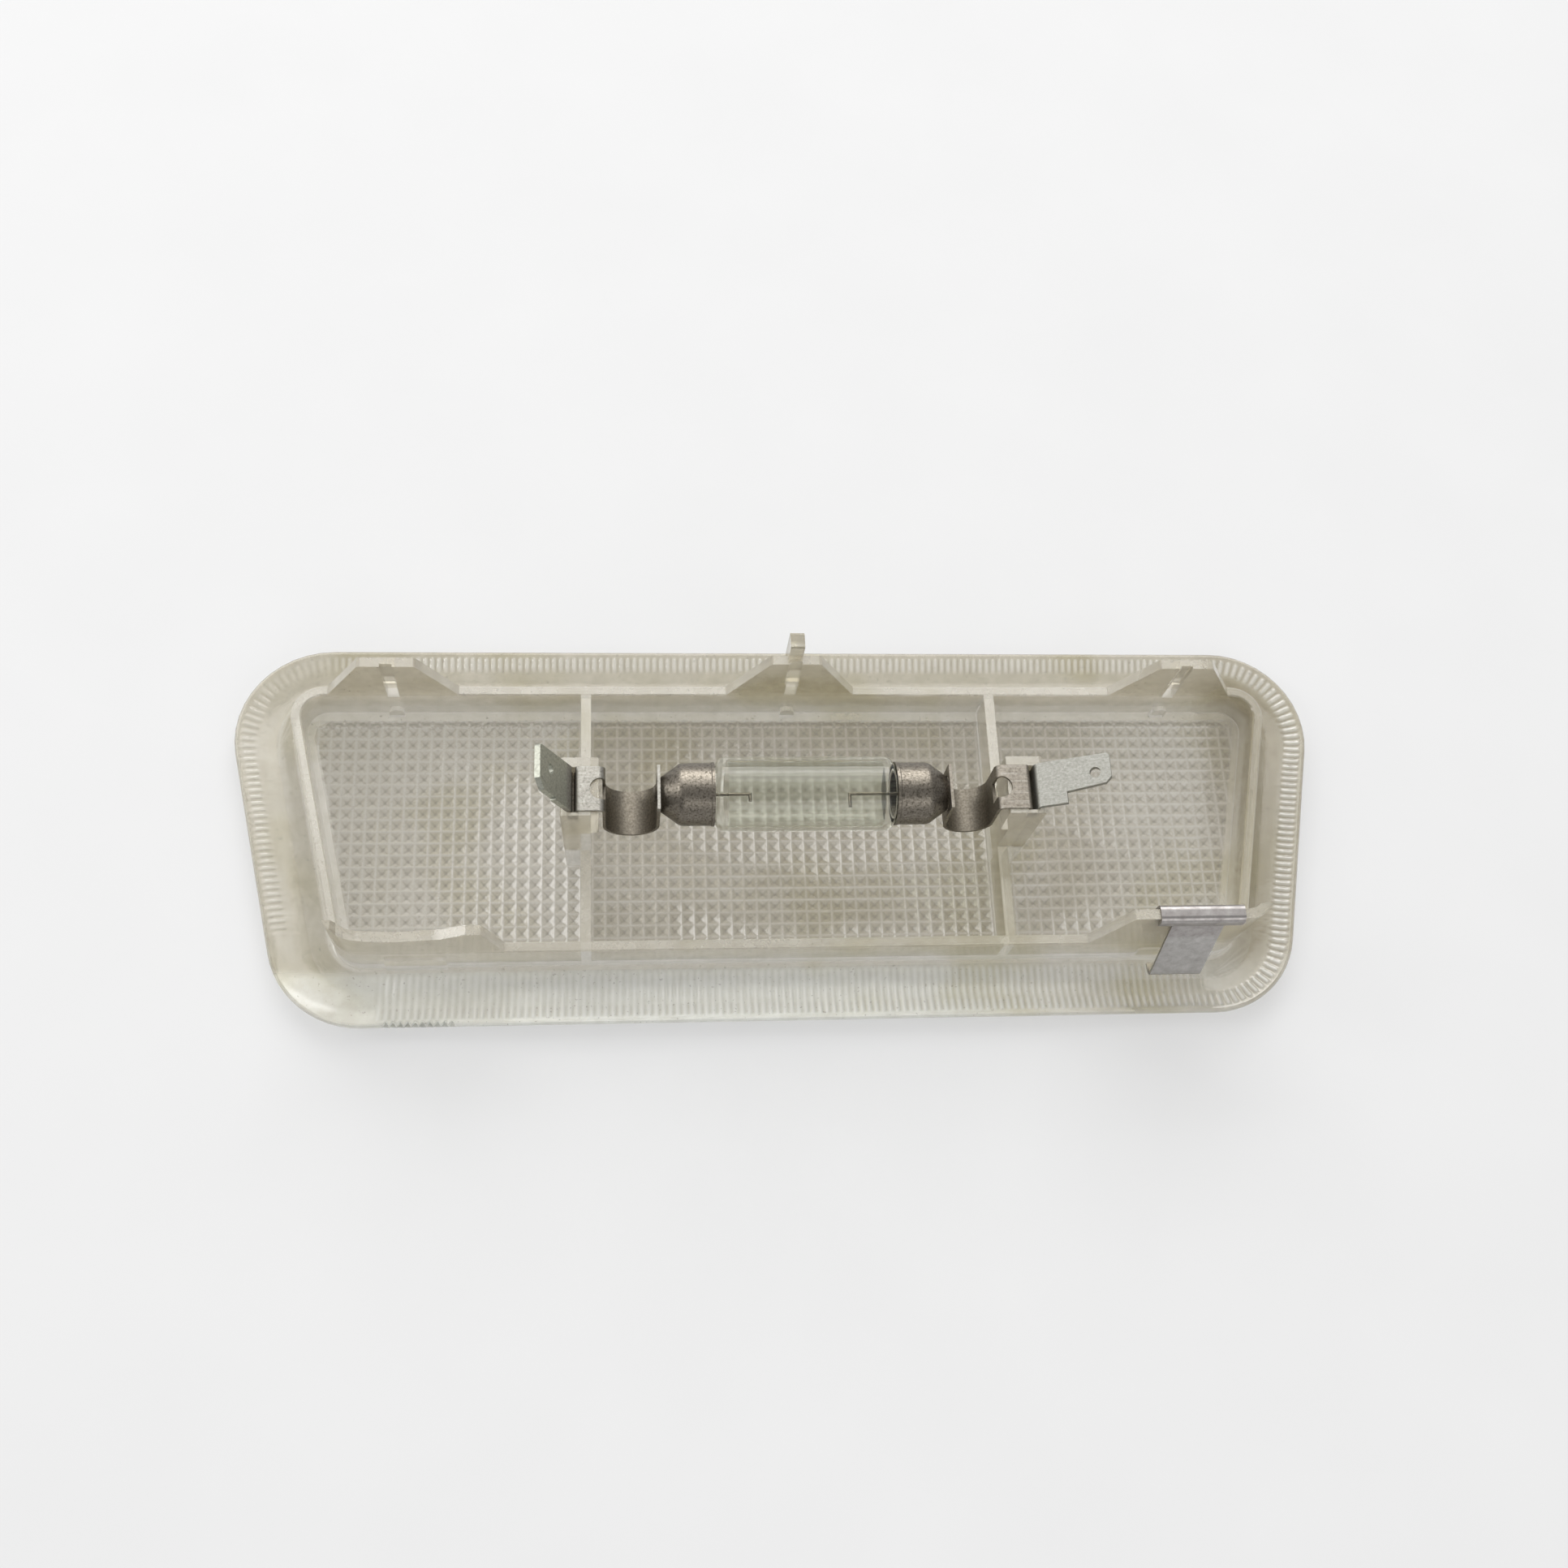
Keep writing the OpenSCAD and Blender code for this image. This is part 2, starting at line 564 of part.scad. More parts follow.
module left_lead_wire() { color([0.5, 0.47, 0.44]) mirror([1, 0, 0]) lead_wire(left_lead_in, 1); }
module right_lead_wire() { color([0.5, 0.47, 0.44]) lead_wire(right_lead_in, 1.9); }

// A bent sheet's section, t thick, along a line of points that is met square at each bend
function unit(v) = v / norm(v);
function sheet_side(line, h) = [for (k = [0:len(line) - 1])
    let(a = unit(line[min(k + 1, len(line) - 1)] - line[min(k, len(line) - 2)]),
        b = unit(line[max(k, 1)] - line[max(k - 1, 0)]),
        n = unit([-a[1] - b[1], a[0] + b[0]]))
    line[k] + n * h / (n * [-a[1], a[0]])];

module bent_sheet(line, t) {
    back = sheet_side(line, -t / 2);
    polygon(concat(sheet_side(line, t / 2), [for (k = [len(line) - 1:-1:0]) back[k]]));
}

// Points of a bend that starts at p with the given heading; a turn is to the left when it is positive
function bend_points(p, heading, r, turn, n) = let(side = sign(turn)) [for (k = [0:n])
    let(h = heading + turn * k / n)
    [p[0] - side * r * sin(heading) + side * r * sin(h), p[1] + side * r * cos(heading) - side * r * cos(h)]];

// Steel clip over the right-hand lower tab: inner leg, roll, outer leg and sprung tongue.
// Its section is drawn in y and z, round the tab's middle plane.
module spring_clip() {
    roll_z = low_tab_z + clip_gap + clip_t / 2 - clip_r;
    tab_mid_y = wall_in_y + wall_t / 2;
    start = [-tab_mid_y + clip_half, roll_z - clip_leg_in, 90];
    path = [[clip_leg_in], [clip_r, 90], [2 * (clip_half - clip_r)], [clip_r, 90], [clip_leg_out]];
    band = pose_at(start, path, 5);
    lean = 17;
    root = bend_points([band[0], band[1]], -90, 1.2, -lean, 4);
    crest_from = root[4] + (tongue_out / sin(lean) - 0.8) * [-sin(lean), -cos(lean)];
    crest = bend_points(crest_from, -90 - lean, 0.8, 95, 8);
    tip = crest[8] + 1.1 * unit(crest[8] - crest[7]);
    color([0.68, 0.67, 0.68]) {
        translate([clip_x - clip_w / 2, 0, 0]) rotate([90, 0, 90]) linear_extrude(clip_w)
            strip(start, path, clip_t);
        translate([clip_x - clip_w / 2 + tongue_in, 0, 0]) rotate([90, 0, 90]) linear_extrude(tongue_w)
            bent_sheet(concat([[band[0], band[1] + 0.4]], root, crest, [tip]), clip_t);
    }
}

lens();
left_contact();
right_contact();
bulb_glass();
left_bulb_cap();
right_bulb_cap();
left_lead_wire();
right_lead_wire();
spring_clip();
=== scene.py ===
# %% [markdown]
# # A car dome light, seen from its back
# The dome light lies face down on a bench. Its solid model is loaded first and stays where it is. What
# follows gives it its finishes, and the few forms that were too fine for the solid model.

# %% Load the dome light
import math

import bmesh
import bpy
from mathutils import Matrix, Vector


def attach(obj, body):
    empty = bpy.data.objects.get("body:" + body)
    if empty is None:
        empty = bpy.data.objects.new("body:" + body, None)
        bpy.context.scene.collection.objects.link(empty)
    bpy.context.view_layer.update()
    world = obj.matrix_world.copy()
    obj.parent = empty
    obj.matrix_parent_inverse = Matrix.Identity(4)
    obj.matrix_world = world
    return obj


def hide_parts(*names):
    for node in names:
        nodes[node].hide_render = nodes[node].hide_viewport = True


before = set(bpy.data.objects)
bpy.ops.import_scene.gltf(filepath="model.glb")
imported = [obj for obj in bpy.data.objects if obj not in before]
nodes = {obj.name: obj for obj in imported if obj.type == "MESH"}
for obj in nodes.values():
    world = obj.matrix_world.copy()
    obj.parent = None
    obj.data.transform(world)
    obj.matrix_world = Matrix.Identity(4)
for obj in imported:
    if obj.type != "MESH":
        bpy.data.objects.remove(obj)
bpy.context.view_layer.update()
MM = 0.001
print("pieces:", sorted(nodes))

# %% [markdown]
# ## Helpers
# Colours are picked as sRGB hex values, the way a paint chart gives them, but a renderer works on linear
# light. One function turns the one into the other. A second one adds a shader node with its settings and
# its inputs, because every finish below is a small network of them. Settings that come back often have a
# name.

# %% Colour and node helpers
SMOOTH = {"interpolation_type": "SMOOTHSTEP"}
COLOURS = {"data_type": "RGBA"}
TINTED = {"data_type": "RGBA", "blend_type": "MULTIPLY"}
TIMES = {"operation": "MULTIPLY"}
LARGER = {"operation": "MAXIMUM"}


def linear(hex_value):
    parts = [int(hex_value[k:k + 2], 16) / 255 for k in (1, 3, 5)]
    return [c / 12.92 if c <= 0.04045 else ((c + 0.055) / 1.055) ** 2.4 for c in parts] + [1.0]


def add(tree, kind, settings=None, **inputs):
    """Adds a shader node.

    An input goes by its name in small letters, or by its number as n0, n1 and so on. It is given a value,
    a node, whose first live output is linked to it, or one output of a node.
    """
    made = tree.nodes.new("ShaderNode" + kind)
    for key, value in (settings or {}).items():
        setattr(made, key, value)
    for key, value in inputs.items():
        named = [s for s in made.inputs if s.enabled and s.name.lower().replace(" ", "_") == key]
        socket = named[0] if named else made.inputs[int(key[1:])]
        if isinstance(value, bpy.types.Node):
            value = next(s for s in value.outputs if s.enabled)
        if isinstance(value, bpy.types.NodeSocket):
            tree.links.new(value, socket)
        else:
            socket.default_value = value
    return made


def finish_named(name):
    """An empty finish, ready for its nodes."""
    made = bpy.data.materials.new(name)
    made.use_nodes = True
    made.node_tree.nodes.clear()
    return made, made.node_tree


print("mid grey is", round(linear("#808080")[0], 3), "in linear light")

# %% [markdown]
# ## Camera
# The photograph was taken from above and a little to the left, about 25 cm away. Its view was worked out
# from the lens's square grid of prisms. So the camera's place and its three axes are given as numbers,
# because a camera aimed by hand would miss a little everywhere.

# %% Camera
PHOTO_PIXELS = 1932
FOCAL_PIXELS = 2080
SENSOR = 36

camera_data = bpy.data.cameras.new("bench_camera")
camera = bpy.data.objects.new("bench_camera", camera_data)
bpy.context.scene.collection.objects.link(camera)
bpy.context.scene.camera = camera
right = Vector((0.99478, -0.04141, 0.09324))
up = Vector((0.00451, 0.93088, 0.36530))
back = Vector((-0.10192, -0.36298, 0.92621))
place = Matrix((right, up, back)).transposed().to_4x4()
place.translation = Vector((-26.14, -83.54, 234.15)) * MM
camera.matrix_world = place
camera_data.sensor_width = SENSOR
camera_data.lens = FOCAL_PIXELS / PHOTO_PIXELS * SENSOR
camera_data.clip_start = 0.01
camera_data.clip_end = 10
print("camera lens:", round(camera_data.lens, 2), "mm")
print("distance to the dome light:", round(place.translation.length / MM), "mm")

# %% [markdown]
# ## Bench, lights and background
# The dome light was photographed on something white and matt, such as card. A large floor does for it and
# keeps the soft shadow. Its white has faint clouds of 25 mm. Part of its paleness comes from a light of
# its own that only the camera, reflections and clear plastic see, because brighter lights would wash out
# the dome light itself.

# %% Floor
FLOOR_HALF = 3.0
GLOW_SHARE = 0.62

floor_mesh = bpy.data.meshes.new("bench")
bm = bmesh.new()
bmesh.ops.create_grid(bm, x_segments=1, y_segments=1, size=FLOOR_HALF)
bm.to_mesh(floor_mesh)
bm.free()
floor = bpy.data.objects.new("bench", floor_mesh)
bpy.context.scene.collection.objects.link(floor)

card, card_tree = finish_named("white_card")
rays = add(card_tree, "LightPath").outputs
seen = add(card_tree, "Math", LARGER, n0=rays["Is Camera Ray"], n1=rays["Is Glossy Ray"])
seen = add(card_tree, "Math", LARGER, n0=seen, n1=rays["Is Transmission Ray"])
glow_share = add(card_tree, "Math", TIMES, n0=seen, n1=GLOW_SHARE)
card_place = add(card_tree, "TexCoord").outputs["Object"]
card_cloud = add(card_tree, "TexNoise", vector=card_place, scale=0.04 / MM, detail=3.0)
paper_tone = add(card_tree, "Mix", COLOURS, factor=card_cloud, a=linear("#D8D8D8"), b=linear("#DEDEDE"))
glow_tone = add(card_tree, "Mix", COLOURS, factor=card_cloud, a=linear("#E7E7E7"), b=linear("#EAEAEA"))
paper = add(card_tree, "BsdfPrincipled", base_color=paper_tone, roughness=0.9)
glow = add(card_tree, "Emission", color=glow_tone, strength=1.0)
card_surface = add(card_tree, "MixShader", n0=glow_share, n1=paper, n2=glow)
add(card_tree, "OutputMaterial", surface=card_surface)
floor_mesh.materials.append(card)
print("floor:", 2 * FLOOR_HALF, "m square, with", card.name)

# %% [markdown]
# Four soft area lights stand round the bench: a window behind the dome light, a wider and stronger one
# further back and lower, a small one at the left and a weak one in front. Large lights close by give the
# soft-edged reflections that metal shows. The world adds an even fill, and the camera alone sees it white.

# %% Lights
def soft_light(name, at, size, power):
    """An area light that faces the middle of the bench."""
    data = bpy.data.lights.new(name, "AREA")
    data.shape = "RECTANGLE"
    data.size, data.size_y = size
    data.energy = power
    light = bpy.data.objects.new(name, data)
    light.location = at
    light.rotation_mode = "QUATERNION"
    light.rotation_quaternion = Vector(at).to_track_quat("Z", "Y")
    bpy.context.scene.collection.objects.link(light)
    return light


lights = [
    soft_light("window", (0.05, 0.5, 0.75), (0.8, 0.5), 3.2),
    soft_light("far_window", (-0.1, 0.95, 0.6), (1.3, 0.5), 12.0),
    soft_light("left_lamp", (-0.75, 0.15, 0.5), (0.4, 0.4), 2.6),
    soft_light("front_fill", (0.3, -0.75, 0.55), (0.7, 0.5), 2.0),
]

world = bpy.data.worlds.new("room")
bpy.context.scene.world = world
world.use_nodes = True
room_tree = world.node_tree
room_tree.nodes.clear()
fill = add(room_tree, "Background", color=linear("#F2F2F2"), strength=0.47)
white = add(room_tree, "Background", color=linear("#F0F0F0"), strength=1.0)
direct = add(room_tree, "LightPath").outputs["Is Camera Ray"]
room = add(room_tree, "MixShader", n0=direct, n1=fill, n2=white)
add(room_tree, "OutputWorld", surface=room)
bpy.context.scene.view_settings.view_transform = "Standard"
print("lights:", {light.name: round(light.data.energy, 1) for light in lights})

# %% [markdown]
# ## The moulded lens
# The lens is one injection moulding in clear plastic. Its solid is right, but the fine ribs that cross its
# rim are missing, because they would take the solid over its limit of triangles. So a copy of the lens is
# made, and the back of its rim is made again with the ribs. For that, each place on the rim gets two
# numbers: how far along the edge it lies and how far in from it. The edge is four arcs joined by straight
# lines, and an arc's ribs are spaced at a smaller radius than the edge's own.

# %% Places along the edge
HALF_TOP, HALF_LOW, CORNER_Y = 66.8, 60.282, 14.95  # middles of the upper and lower corner arcs
CORNER_R = 13.5                                     # radius of the edge at a corner
RIB_R = 10.5                                        # radius at which the ribs of a corner are spaced
SLANT = math.radians(12.3)                          # how far the two ends lean
ARC_STEPS = 12                                      # straight facets of the solid in an arc
TINY = 1e-4                                         # keeps the ends of arcs and lines from being lost
corners = [(HALF_TOP, CORNER_Y, -SLANT), (-HALF_TOP, CORNER_Y, math.pi / 2),
           (-HALF_LOW, -CORNER_Y, math.pi + SLANT), (HALF_LOW, -CORNER_Y, 1.5 * math.pi)]
sweeps = [math.pi / 2 + SLANT, math.pi / 2 + SLANT, math.pi / 2 - SLANT, math.pi / 2 - SLANT]


def edge_place(x, y):
    """Millimetres along the edge, anticlockwise, and in from the edge."""
    along, best = 0.0, (0.0, CORNER_R)
    for k, ((cx, cy, start), sweep) in enumerate(zip(corners, sweeps)):
        turn = (math.atan2(y - cy, x - cx) - start + TINY) % (2 * math.pi) - TINY
        inset = CORNER_R - math.hypot(x - cx, y - cy)
        if turn <= sweep + TINY and inset < best[1]:
            best = (along + RIB_R * turn, inset)
        along += RIB_R * sweep
        nx, ny, _ = corners[(k + 1) % 4]
        run = math.dist((cx, cy), (nx, ny))
        ex, ey = (nx - cx) / run, (ny - cy) / run
        t = (x - cx) * ex + (y - cy) * ey
        inset = CORNER_R - (x - cx) * ey + (y - cy) * ex
        if 0 < t < run and inset < best[1] - TINY:
            best = (along + t, inset)
        along += run
    return best


steps = []
for corner in range(4):
    steps += [RIB_R * sweeps[corner] / ARC_STEPS] * ARC_STEPS
    steps.append(math.dist(corners[corner][:2], corners[(corner + 1) % 4][:2]))
RIB_PITCH = sum(steps) / round(sum(steps))
print("edge:", round(sum(steps), 1), "mm, ribs", round(RIB_PITCH, 3), "mm apart")

# %% [markdown]
# The solid's rim is made of rings of 52 points, 13 to a corner. The faces of its back, from the outermost
# ring to the one where the flat begins, are taken out. So is the flat of the lower run, because the ribs go
# on there to the foot of the wall.

# %% Open the back of the rim
FLANGE_T = 2.0               # height of the flat
CURL_W = 5.5                 # width of the rim, from the edge to the flat
FRONT_Z = 2.5                # height of the outermost ring
LIP_Z = 3.2                  # height of the lip
LIP_W = 0.5                  # distance of its inner side from the edge
LIP_R = 0.25                 # chamfer of its outer side
WALL_MIDDLE = 9.0            # a place inside the wall, further in than its foot
SLACK = 0.1                  # how far a point may be from where a ring should be
SLACK_Z = 0.01               # the same for its height
LOW_RUN = 3 * ARC_STEPS + 2  # ring point at which the lower run starts

bm = bmesh.new()
bm.from_mesh(nodes["lens"].data)
bmesh.ops.remove_doubles(bm, verts=bm.verts, dist=1e-6)
places = {v: edge_place(v.co.x / MM, v.co.y / MM) for v in bm.verts}


def ring_at(z, start, end):
    """The solid's ring at a height, between two distances in from the edge, in order along the edge."""
    found = [v for v in bm.verts if abs(v.co.z / MM - z) < SLACK_Z and start < places[v][1] < end]
    return sorted(found, key=lambda v: places[v][0])


def on_rim_back(v):
    inset, z = places[v][1], v.co.z / MM
    on_lip = FRONT_Z - SLACK_Z < z < LIP_Z + SLACK_Z and inset < LIP_W + SLACK
    on_curl = FLANGE_T - SLACK_Z < z < LIP_Z + SLACK_Z and LIP_W - SLACK < inset < CURL_W + SLACK
    return on_lip or on_curl


edge_ring = ring_at(FRONT_Z, -SLACK, SLACK)
flat_ring = ring_at(FLANGE_T, CURL_W - SLACK, CURL_W + SLACK)
foot_ring = ring_at(FLANGE_T, CURL_W + SLACK, WALL_MIDDLE)
low_flat = {ring[LOW_RUN + k] for ring in (flat_ring, foot_ring) for k in (0, 1)}
opened = [f for f in bm.faces
          if all(on_rim_back(v) for v in f.verts) or all(v in low_flat for v in f.verts)]
bmesh.ops.delete(bm, geom=opened, context="FACES")
print("points in the rings:", len(edge_ring), len(flat_ring), len(foot_ring))
print("faces taken out:", len(opened))

# %% [markdown]
# A rib is a low round wave. All round the lens the ribs fill a band behind the lip, fainter at the left
# end, and along the lower edge they cross the whole flange. The lower left corner has none. Beside it the
# lip is chipped, and only the ends of the ribs are left there, like teeth. A displacement texture would
# not follow the corners, so the next cell holds ribs and chips as functions of a place on the rim. All
# distances are in millimetres.

# %% Height of the ribs and depth of the chips
RIB_H = 0.2              # full height of a rib
RUN_SHARE = 0.6          # share of it on the lower run
LEFT_FADE = 0.65         # share that is lost at the left end
BAND_START = (0.8, 1.2)  # in from the edge, where the ribs rise to their height
BAND_END = (2.6, 3.2)    # where those of the band come down again
RUN_END = (7.2, 7.8)     # where those of the lower run come down again
CHIP_DEPTH = 0.6         # how far a chip goes in
CHIP_REACH = 0.9         # where the chips have run out


def smooth(value, start, end):
    t = min(1.0, max(0.0, (value - start) / (end - start)))
    return t * t * (3 - 2 * t)


def rib_wave(along):
    return 0.5 + 0.5 * math.cos(2 * math.pi * along / RIB_PITCH)


def rib_share(x, y, inset):
    """How much of its full height a rib has at this place, from 0 to 1."""
    band = smooth(inset, *BAND_START) * (1 - smooth(inset, *BAND_END))
    band *= 1 - LEFT_FADE * smooth(-x, 62, 68)
    run = RUN_SHARE * smooth(inset, *BAND_START) * (1 - smooth(inset, *RUN_END)) * smooth(-y, 19.9, 20.3)
    run *= 1 - smooth(abs(x), 57, 60)
    off_low_left_corner = 1 - smooth(-x, 57, 59.5) * smooth(-y, 13, 16)
    return max(band * off_low_left_corner, run)


def rib_height(x, y, along, inset):
    return RIB_H * rib_wave(along) * rib_share(x, y, inset)


def chip_depth(x, y, along):
    chipped_here = smooth(-x, 47, 48) * (1 - smooth(-x, 57, 58)) * smooth(-y, 20, 25)
    return CHIP_DEPTH * chipped_here * rib_wave(along)


print("rib height in the band:", round(rib_height(0, 26, 0, 2), 2), "mm")
print("rib height on the lower run:", round(rib_height(0, -23, 0, 5), 2), "mm")

# %% [markdown]
# The back of the rim is closed again with a grid, eight columns to a rib, which is enough for a round wave.
# A column starts at the outermost ring and goes over the lip and down the curl, which is an arc, to the
# flat. Where a column meets a point of the solid's rings, it uses that point, so that the mesh stays whole.

# %% Ribbed back of the rim
PER_MM = 8     # columns to a millimetre
FACETED = 0.4  # points nearer to the edge than this stay on its facets
BACK_W = CURL_W - LIP_W
BACK_RISE = LIP_Z - FLANGE_T
BACK_R = (BACK_W ** 2 + BACK_RISE ** 2) / (2 * BACK_RISE)
rows = [(0.0, FRONT_Z), (0.0, LIP_Z - LIP_R), (LIP_R, LIP_Z), (LIP_W, LIP_Z)]
for row_inset in (0.8, 1.0, 1.2, 1.5, 2.0, 2.5, 2.9, 3.2, 3.5, 4.2, 4.9, CURL_W):
    row_z = FLANGE_T + BACK_R - math.sqrt(BACK_R ** 2 - (CURL_W - row_inset) ** 2)
    rows.append((row_inset, row_z))


def rim_point(k, share, inset):
    """A point on the way from ring point k to the next, at a distance in from the edge.

    The outermost points stay on the solid's straight facets, so that nothing grows past its outline.
    """
    if inset < FACETED and 0 < share < 1 and k % (ARC_STEPS + 1) != ARC_STEPS:
        (x0, y0), (x1, y1) = rim_point(k, 0, inset), rim_point(k, 1, inset)
        return x0 + (x1 - x0) * share, y0 + (y1 - y0) * share
    corner, step = divmod(k, ARC_STEPS + 1)
    cx, cy, start = corners[corner]
    r = CORNER_R - inset
    turn = start + sweeps[corner] * min(step + share, ARC_STEPS) / ARC_STEPS
    x, y = cx + r * math.cos(turn), cy + r * math.sin(turn)
    if step == ARC_STEPS:
        nx, ny, _ = corners[(corner + 1) % 4]
        x, y = x + (nx - cx) * share, y + (ny - cy) * share
    return x, y


def rim_column(k, share, along):
    """The points of one column, from the outermost ring to the flat."""
    column = []
    for row, (inset, z) in enumerate(rows):
        x, y = rim_point(k, share, inset)
        if inset < CHIP_REACH:
            chip = chip_depth(x, y, along) * (1 - inset / CHIP_REACH)
            x, y = rim_point(k, share, inset + chip)
        at = Vector((x, y, z + rib_height(x, y, along, inset))) * MM
        of_solid = {0: edge_ring[k], len(rows) - 1: flat_ring[k]}.get(row) if share == 0 else None
        if of_solid:
            of_solid.co = at
        column.append(of_solid or bm.verts.new(at))
    return column


columns, starts, so_far = [], [], 0.0
for k, step in enumerate(steps):
    starts.append(len(columns))
    count = round(PER_MM * step)
    for n in range(count):
        columns.append(rim_column(k, n / count, so_far + step * (n / count)))
    so_far += step
starts.append(len(columns))
print("columns:", len(columns), "with", len(rows), "points each")

# %% [markdown]
# Two neighbouring columns make a strip of four-sided faces. At the ends of the columns the solid's own faces
# still have one long edge where there are now many short ones, so each is replaced with a fan that meets
# them. A fan adds no point of its own, so the shape of the solid stays.

# %% Strips and fans
def strips(lines, closed):
    for k in range(len(lines) if closed else len(lines) - 1):
        one, two = lines[k], lines[(k + 1) % len(lines)]
        for r in range(len(one) - 1):
            bm.faces.new((one[r], two[r], two[r + 1], one[r + 1]))


def fan(points, forward):
    """Replaces the solid's triangle on the long edge from the first point to the last."""
    edge = bm.edges.get((points[0], points[-1]))
    face = edge.link_faces[0]
    tip = next(v for v in face.verts if v not in edge.verts)
    if len(points) == 2:
        return
    bm.faces.remove(face)
    bm.edges.remove(edge)
    for p, q in zip(points, points[1:]):
        bm.faces.new((p, q, tip) if forward else (q, p, tip))


strips(columns, True)
print("faces with the ribbed strips:", len(bm.faces))

# %% [markdown]
# The lower run is the one place where the columns go on past the curl, in three more points and the foot of
# the wall. Its two ends are closed with a fan each, as the long sides are. At the end every edge should have
# two faces, which shows that the lens is closed again.

# %% Close the rim
FLAT_W = 2.45                 # from the curl to the foot of the wall
FLAT_PARTS = (0.3, 0.6, 0.8)  # the three points, as parts of the way


def flat_line(k, share, top_point, foot_point):
    """One column's way over the flat of the lower run, from the curl to the foot of the wall."""
    foot = foot_ring[k].co.lerp(foot_ring[k + 1].co, share) / MM
    top = top_point.co / MM
    along = sum(steps[:k]) + steps[k] * share
    line = [top_point]
    for part in FLAT_PARTS:
        p = top.lerp(foot, part)
        p.z = FLANGE_T + rib_height(p.x, p.y, along, CURL_W + part * FLAT_W)
        line.append(bm.verts.new(p * MM))
    line.append(foot_point or bm.verts.new(foot * MM))
    return line


for k in range(len(steps)):
    span = [columns[n % len(columns)] for n in range(starts[k], starts[k + 1] + 1)]
    fan([column[0] for column in span], False)
    if k != LOW_RUN:
        fan([column[-1] for column in span], True)
        continue
    last = len(span) - 1
    feet = {0: foot_ring[k], last: foot_ring[k + 1]}
    lines = [flat_line(k, n / last, column[-1], feet.get(n)) for n, column in enumerate(span)]
    strips(lines, False)
    fan([line[-1] for line in lines], True)
    fan(lines[0], True)
    fan(lines[-1], False)
bm.normal_update()
loose = [e for e in bm.edges if len(e.link_faces) != 2]
print("faces of the lens:", len(bm.faces), "open edges:", len(loose))

# %% [markdown]
# Three numbers are kept on every point for the finish below: how far in from the edge it is, and how much of
# a rib and of a groove it is. To work these out round the corners, a finish would need very many nodes.
# The solid's own normals would make the new faces look wrong, so the copy drops them.

# %% The lens object
BACK_HEIGHTS = (1.9, 3.5)  # between these heights lies the back of the rim

inset_layer = bm.verts.layers.float.new("inset")
rib_layer = bm.verts.layers.float.new("rib")
groove_layer = bm.verts.layers.float.new("groove")
for v in bm.verts:
    point_x, point_y, point_z = v.co / MM
    point_along, point_inset = edge_place(point_x, point_y)
    v[inset_layer] = point_inset
    if BACK_HEIGHTS[0] < point_z < BACK_HEIGHTS[1]:
        share = rib_share(point_x, point_y, point_inset)
        v[rib_layer] = share * rib_wave(point_along)
        v[groove_layer] = share * (1 - rib_wave(point_along))
lens_mesh = bpy.data.meshes.new("lens_moulding")
bm.to_mesh(lens_mesh)
bm.free()
lens_mesh.attributes.remove(lens_mesh.attributes["custom_normal"])
lens_mesh.shade_smooth()
lens_mesh.set_sharp_from_angle(angle=math.radians(24))
lens = bpy.data.objects.new("lens_moulding", lens_mesh)
bpy.context.scene.collection.objects.link(lens)
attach(lens, "root")
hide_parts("lens")
print("triangles of the lens:", sum(len(face.vertices) - 2 for face in lens_mesh.polygons))

# %% [markdown]
# ## Aged clear plastic
# The plastic is probably acrylic, or else polycarbonate. Either bends light and reflects a little of it, but
# with age it gets hazy and a little yellow, so over white card it looks grey-beige. A plain glass shader
# would look new, so the finish is part clear and part milky. Everything in it is measured in millimetres:
# the object's own coordinates are scaled up once.

# %% Lens finish: places in millimetres
aged_plastic, lens_tree = finish_named("aged_clear_acrylic")
lens_place = add(lens_tree, "TexCoord").outputs["Object"]
lens_mm = add(lens_tree, "VectorMath", {"operation": "SCALE"}, vector=lens_place, scale=1 / MM)
lens_x, lens_y, lens_z = add(lens_tree, "SeparateXYZ", vector=lens_mm).outputs
inset_here = add(lens_tree, "Attribute", {"attribute_name": "inset"}).outputs["Fac"]
rib_here = add(lens_tree, "Attribute", {"attribute_name": "rib"}).outputs["Fac"]
groove_here = add(lens_tree, "Attribute", {"attribute_name": "groove"}).outputs["Fac"]
print("nodes of the lens finish so far:", len(lens_tree.nodes))

# %% [markdown]
# The ridges between the prisms get a painted highlight, and the creases and the bottom of each pit get
# painted shade, for the light and shade that the prisms themselves would give. A ping-pong of a coordinate
# gives its distance from the nearest ridge, and the smaller of the two is used. Where the two are equal, two
# sides of a pit meet in a crease. This follows the real prisms, where a noise would only cloud them.

# %% Lens finish: prisms
PRISM_PITCH = 1.8

ridge_x = add(lens_tree, "Math", {"operation": "PINGPONG"}, n0=lens_x, n1=PRISM_PITCH / 2)
ridge_y = add(lens_tree, "Math", {"operation": "PINGPONG"}, n0=lens_y, n1=PRISM_PITCH / 2)
from_ridge = add(lens_tree, "Math", {"operation": "MINIMUM"}, n0=ridge_x, n1=ridge_y)
# Painted highlight along the ridges between the prisms.
ridge_glint = add(lens_tree, "MapRange", SMOOTH, value=from_ridge,
           from_min=0.05, from_max=0.3, to_min=1.0, to_max=0.0)
# Painted shade at the bottom of each pit.
pit_shade = add(lens_tree, "MapRange", SMOOTH, value=from_ridge,
            from_min=0.45, from_max=0.9, to_min=0.0, to_max=0.75)
from_crease = add(lens_tree, "Math", {"operation": "SUBTRACT"}, n0=ridge_x, n1=ridge_y)
from_crease = add(lens_tree, "Math", {"operation": "ABSOLUTE"}, n0=from_crease)
# Painted shade in the creases where two sides of a pit meet.
crease = add(lens_tree, "MapRange", SMOOTH, value=from_crease,
             from_min=0.02, from_max=0.2, to_min=0.8, to_max=0.0)
crease = add(lens_tree, "Math", TIMES, n0=crease, n1=from_ridge)
